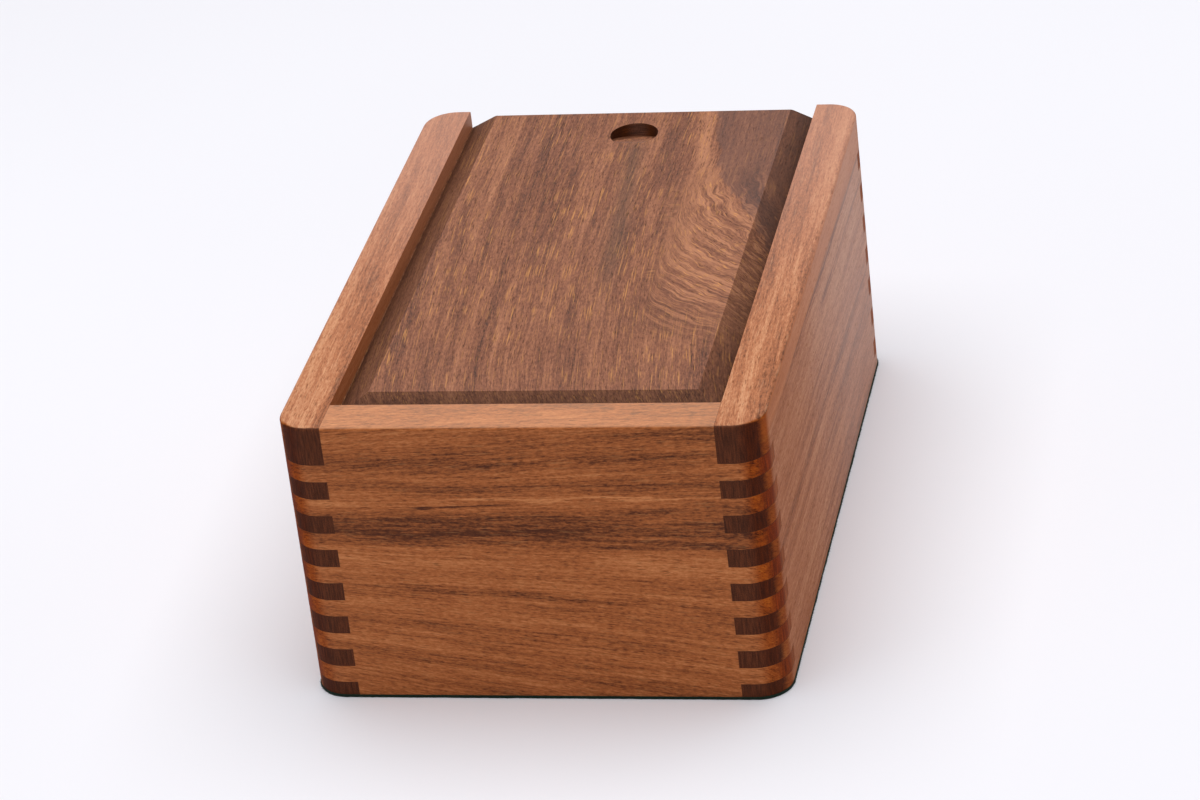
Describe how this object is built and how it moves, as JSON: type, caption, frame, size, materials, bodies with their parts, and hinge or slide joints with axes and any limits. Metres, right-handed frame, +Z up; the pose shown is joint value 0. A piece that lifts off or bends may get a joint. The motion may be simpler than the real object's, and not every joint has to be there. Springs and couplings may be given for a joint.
{
  "type": "chessmen box with sliding lid",
  "caption": "Finger-jointed hardwood box for chessmen, with a raised-panel lid that slides out at the back by a thumb notch, a divided felt-lined inside and felt under the base.",
  "frame": {"origin": "middle of the underside of the base felt", "axes": "+X across the box, to the right seen from the closed end; +Y along the box, towards the end that the lid slides out of; +Z up"},
  "size_m": [0.16, 0.24, 0.102],
  "materials": {
    "end_walls": "satin oiled, warm orange-brown, grain along the wall",
    "side_walls": "satin oiled, reddish brown, grain along the wall, darker end grain",
    "lid": "satin oiled, purple-brown with golden streaks, grain along the slide",
    "bottom": "plain sanded",
    "divider": "satin oiled",
    "base_felt": "dark green felt",
    "floor_lining": "dark green felt"
  },
  "bodies": {
    "case": {"front_wall": "end_walls", "back_wall": "end_walls", "left_wall": "side_walls", "right_wall": "side_walls", "bottom_panel": "bottom", "base_felt": "base_felt", "divider": "divider", "left_floor_lining": "floor_lining", "right_floor_lining": "floor_lining"},
    "lid": {"lid": "lid"}
  },
  "joints": [
    {"name": "lid_slide", "type": "slide", "parent": "case", "child": "lid", "axis": [0, 1, 0], "range_m": [0, 0.23]}
  ]
}
